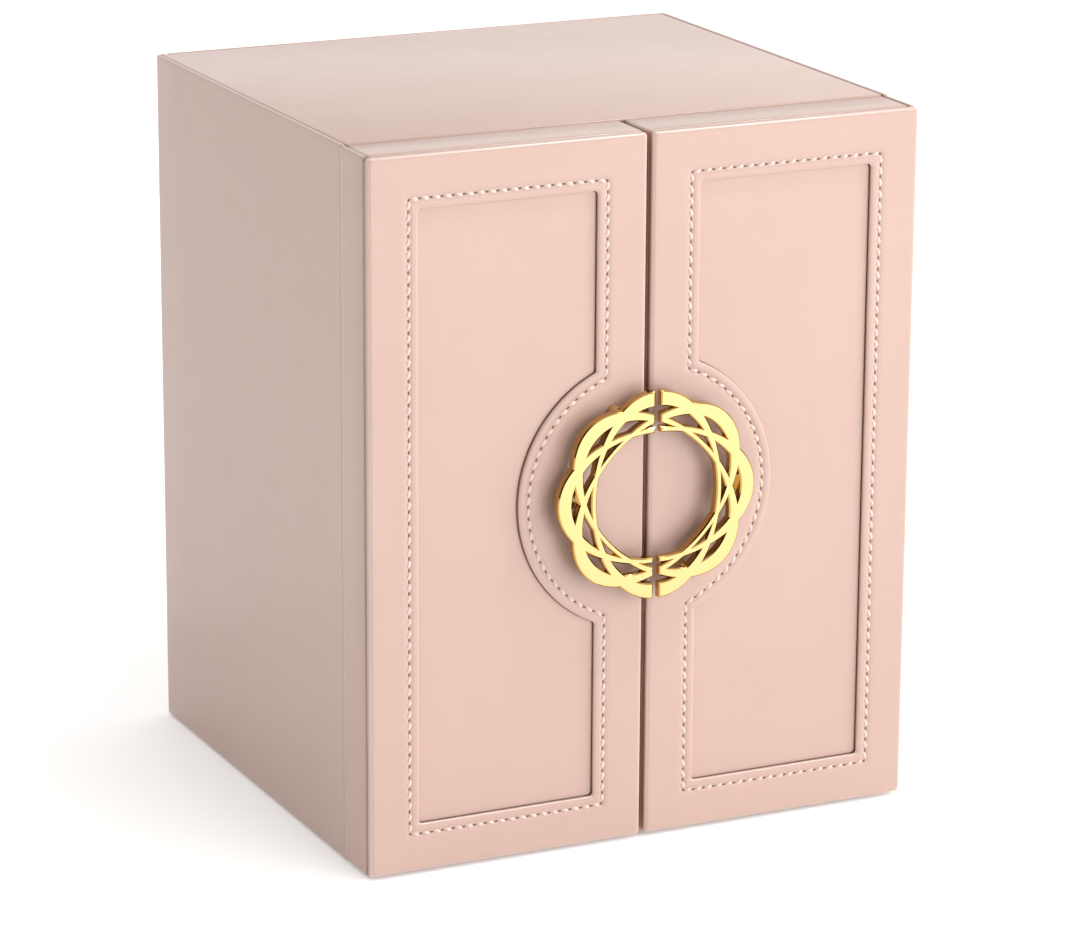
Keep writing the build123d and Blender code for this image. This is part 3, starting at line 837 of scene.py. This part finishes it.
def gathered_pocket(side, name, node):
    """A velvet pocket on the door's lining, gathered by an elastic near its top."""
    low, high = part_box(node)
    width = high.x - low.x
    left = min(abs(low.x), abs(high.x))
    bottom = low.z + 0.6 * MM
    height = high.z - low.z - 1.2 * MM
    back = LINING_HIGH.y + 0.15 * MM
    folds = 19
    fold_depth = 1.1 * MM
    belly_depth = high.y - LINING_HIGH.y - 0.6 * MM - fold_depth
    elastic_place, elastic_width, elastic_depth = 0.88, 0.03, 1.4 * MM
    columns, rows = 220, 34
    shape = bmesh.new()
    grid = []
    for i in range(rows + 1):
        v = i / rows
        slump = 1 - 0.28 * max(0.0, (v - 0.5) / 0.5) ** 1.5
        belly = math.sin(math.pi * min(1.0, v / 0.75) / 2) ** 0.5 * slump
        elastic = math.exp(-((v - elastic_place) / elastic_width) ** 2)
        fold = (0.12 + 0.88 * v ** 1.5) * fold_depth * (1 - 0.5 * elastic)
        row = []
        for j in range(columns + 1):
            u = j / columns
            ends = (1 - abs(2 * u - 1) ** 9) ** 0.5
            wander = 1.6 * noise.noise(Vector((u * 6, 3.1 * side, 0.4 * v)))
            turn = 2 * math.pi * folds * u + wander
            gather = math.sin(turn + 0.4 * math.sin(5 * v))
            depth = (belly * belly_depth - elastic_depth * elastic + fold * gather) * ends
            x = left + width * u + 0.25 * MM * math.cos(turn) * ends
            z = bottom + height * v + 0.4 * MM * gather * v ** 6
            row.append(shape.verts.new((side * x, back + max(0.0, depth), z)))
        grid.append(row)
    for below, above in zip(grid, grid[1:]):
        for j in range(columns):
            shape.faces.new((below[j], below[j + 1], above[j + 1], above[j]))
    bmesh.ops.recalc_face_normals(shape, faces=shape.faces)
    bmesh.ops.solidify(shape, geom=shape.faces[:], thickness=0.5 * MM)
    return from_bmesh(name, shape, VELVET, 80)


# ---------------------------------------------------------------- assembly

def build_door(side, word):
    """Everything that is drawn here for one door."""
    body = f"{word}_door"
    plate = door_plate(side, f"{word}_plate_leather")
    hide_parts(f"{word}_door_front_leather")
    wrap = door_wrap(side, f"{word}_rim_leather")
    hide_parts(f"{word}_door_edge_leather", f"{word}_door_rim_rails")
    thread = stitches(side, f"{word}_stitches")
    holes = needle_holes(side, f"{word}_needle_holes")
    for obj in (plate, wrap, thread, holes):
        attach(obj, body)
    build_side_cover(side, word)
    pocket = gathered_pocket(side, f"{word}_pocket", f"{word}_door_pocket")
    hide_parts(f"{word}_door_pocket")
    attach(pocket, body)


def build_side_cover(side, word):
    """The side sheet over the body and its door's edge, with a crease at the hinge."""
    cover = side_cover(side, f"{word}_side_cover")
    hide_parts(f"{word}_side_leather")
    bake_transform(cover)


def build_carcass_panel(name, node, low, high):
    """A sheet of leather with rolled edges on the body."""
    panel = from_bmesh(name, rolled_box(low, high, SKIN_ROLL), LEATHER)
    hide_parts(node)
    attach(panel, "carcass")


def build_carcass_panels():
    """The leather on the top and the back, each a panel between the side sheets."""
    top_thickness = 2 * MM
    half_top = PLATE_HIGH.x - LIP - SEAM
    low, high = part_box("top_leather")
    start = Vector((-half_top, low.y, high.z - top_thickness))
    end = Vector((half_top, cad_high.y - LIP - SEAM, high.z))
    build_carcass_panel("top_cover", "top_leather", start, end)
    half_back = PLATE_HIGH.x - REAR_CORNER - SKIN - SEAM
    low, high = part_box("back_leather")
    start = Vector((-half_back, cad_high.y - LIP, low.z))
    end = Vector((half_back, cad_high.y, high.z))
    build_carcass_panel("back_cover", "back_leather", start, end)


def build_drawer_inserts():
    """What the drawers hold."""
    rolls = ring_rolls("ring_rolls", "drawer_1_ring_rolls")
    pillows = watch_pillows("drawer_5_pillows")
    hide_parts("drawer_5_pillows")
    inserts = [(rolls, "drawer_1", "drawer_1_ring_rolls")]
    inserts += [(pillow, "drawer_5", None) for pillow in pillows]
    for number, word in ((2, "dividers"), (3, "dividers"), (4, "divider")):
        node = f"drawer_{number}_{word}"
        inserts.append((soft_slabs(f"drawer_{number}_velvet_{word}", node), f"drawer_{number}", node))
    for obj, body, node in inserts:
        if node:
            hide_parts(node)
        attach(obj, body)


def dress_cad_nodes():
    """Gives every CAD node the finish of its slot, and the ring handle a gilt of its own, with darker
    reflections and shade painted on its edges and walls.
    """
    for entry in frame["record"]["subparts"]:
        node = frame["nodes"][entry["node"]]
        node.data.materials.clear()
        node.data.materials.append(SLOT_MATERIALS[entry["material_slot"]])
    ring = gilt_with_painted_reflections("ring_gilt_painted_reflections")
    for node in ("left_handle", "right_handle"):
        frame["nodes"][node].data.materials[0] = ring


# ---------------------------------------------------------------- studio

def build_floor():
    reach = 8.0
    mesh = bpy.data.meshes.new("floor")
    corners = [(-reach, -reach, 0), (reach, -reach, 0), (reach, reach, 0), (-reach, reach, 0)]
    mesh.from_pydata(corners, [], [(0, 1, 2, 3)])
    mesh.materials.append(glowing_floor("pale_floor"))
    floor = bpy.data.objects.new("floor", mesh)
    bpy.context.scene.collection.objects.link(floor)


def build_lamp(name, direction, distance, size, power, mirrored=False):
    """A square soft lamp that faces the object; its own reflection shows only when it is mirrored."""
    data = bpy.data.lights.new(name, "AREA")
    data.shape = "SQUARE"
    data.size = size
    data.energy = power
    lamp = bpy.data.objects.new(name, data)
    lamp.visible_glossy = mirrored
    towards = Vector(direction).normalized()
    lamp.location = Vector((0, 0, cad_high.z / 2)) + towards * distance
    lamp.rotation_euler = towards.to_track_quat("Z", "Y").to_euler()
    bpy.context.scene.collection.objects.link(lamp)


def build_world(bright, dark, dark_side, overhead):
    """A white studio that is darker on one side and dimmer overhead; the camera sees it all white."""
    world = bpy.data.worlds.new("studio")
    world.use_nodes = True
    tree = world.node_tree
    background = tree.nodes["Background"]
    background.inputs["Color"].default_value = (1.0, 0.995, 0.985, 1)
    direction = tree.nodes.new("ShaderNodeTexCoord").outputs["Generated"]
    facing = tree.nodes.new("ShaderNodeVectorMath")
    facing.operation = "DOT_PRODUCT"
    facing.inputs[1].default_value = Vector(dark_side).normalized()
    tree.links.new(direction, facing.inputs[0])
    walls = map_range(tree, facing.outputs["Value"], (0.7, 0.92), (bright, dark), "SMOOTHSTEP")
    ceiling = map_range(tree, axis_part(tree, direction, "Z"), (0.45, 0.85), (1, overhead))
    light = combine(tree, "MULTIPLY", walls, ceiling)
    camera_ray = tree.nodes.new("ShaderNodeLightPath").outputs["Is Camera Ray"]
    white = map_range(tree, camera_ray, (0, 1), (0, bright))
    tree.links.new(combine(tree, "MAXIMUM", light, white), background.inputs["Strength"])
    bpy.context.scene.world = world


def build_camera():
    """A long lens, to the left of the doors and above them."""
    yaw = math.radians(25.612)
    pitch = math.radians(16.121)
    tilt = math.radians(0.334)
    place = (-0.7532, -1.5848, 0.6289)
    data = bpy.data.cameras.new("camera")
    data.lens = 151.55
    data.sensor_width = 36
    camera = bpy.data.objects.new("camera", data)
    turn = Matrix.Rotation(-yaw, 4, "Z")
    turn = turn @ Matrix.Rotation(math.pi / 2 - pitch, 4, "X")
    turn = turn @ Matrix.Rotation(tilt, 4, "Z")
    camera.matrix_world = Matrix.Translation(place) @ turn
    bpy.context.scene.collection.objects.link(camera)
    bpy.context.scene.camera = camera


build_door(1, "right")
build_door(-1, "left")
build_carcass_panels()
build_drawer_inserts()
dress_cad_nodes()
build_floor()
build_world(bright=1.33, dark=0.1, dark_side=(-0.72, -0.6, 0.35), overhead=0.72)
build_lamp("key", direction=(0.3, -0.9, 0.22), distance=2.0, size=1.5, power=25)
build_lamp("side", direction=(0.86, -0.47, 0.2), distance=2.0, size=0.9, power=13)
build_lamp("overhead", direction=(0.415, -0.28, 0.865), distance=2.1, size=0.22, power=14, mirrored=True)
build_camera()
bpy.context.scene.view_settings.view_transform = "Standard"
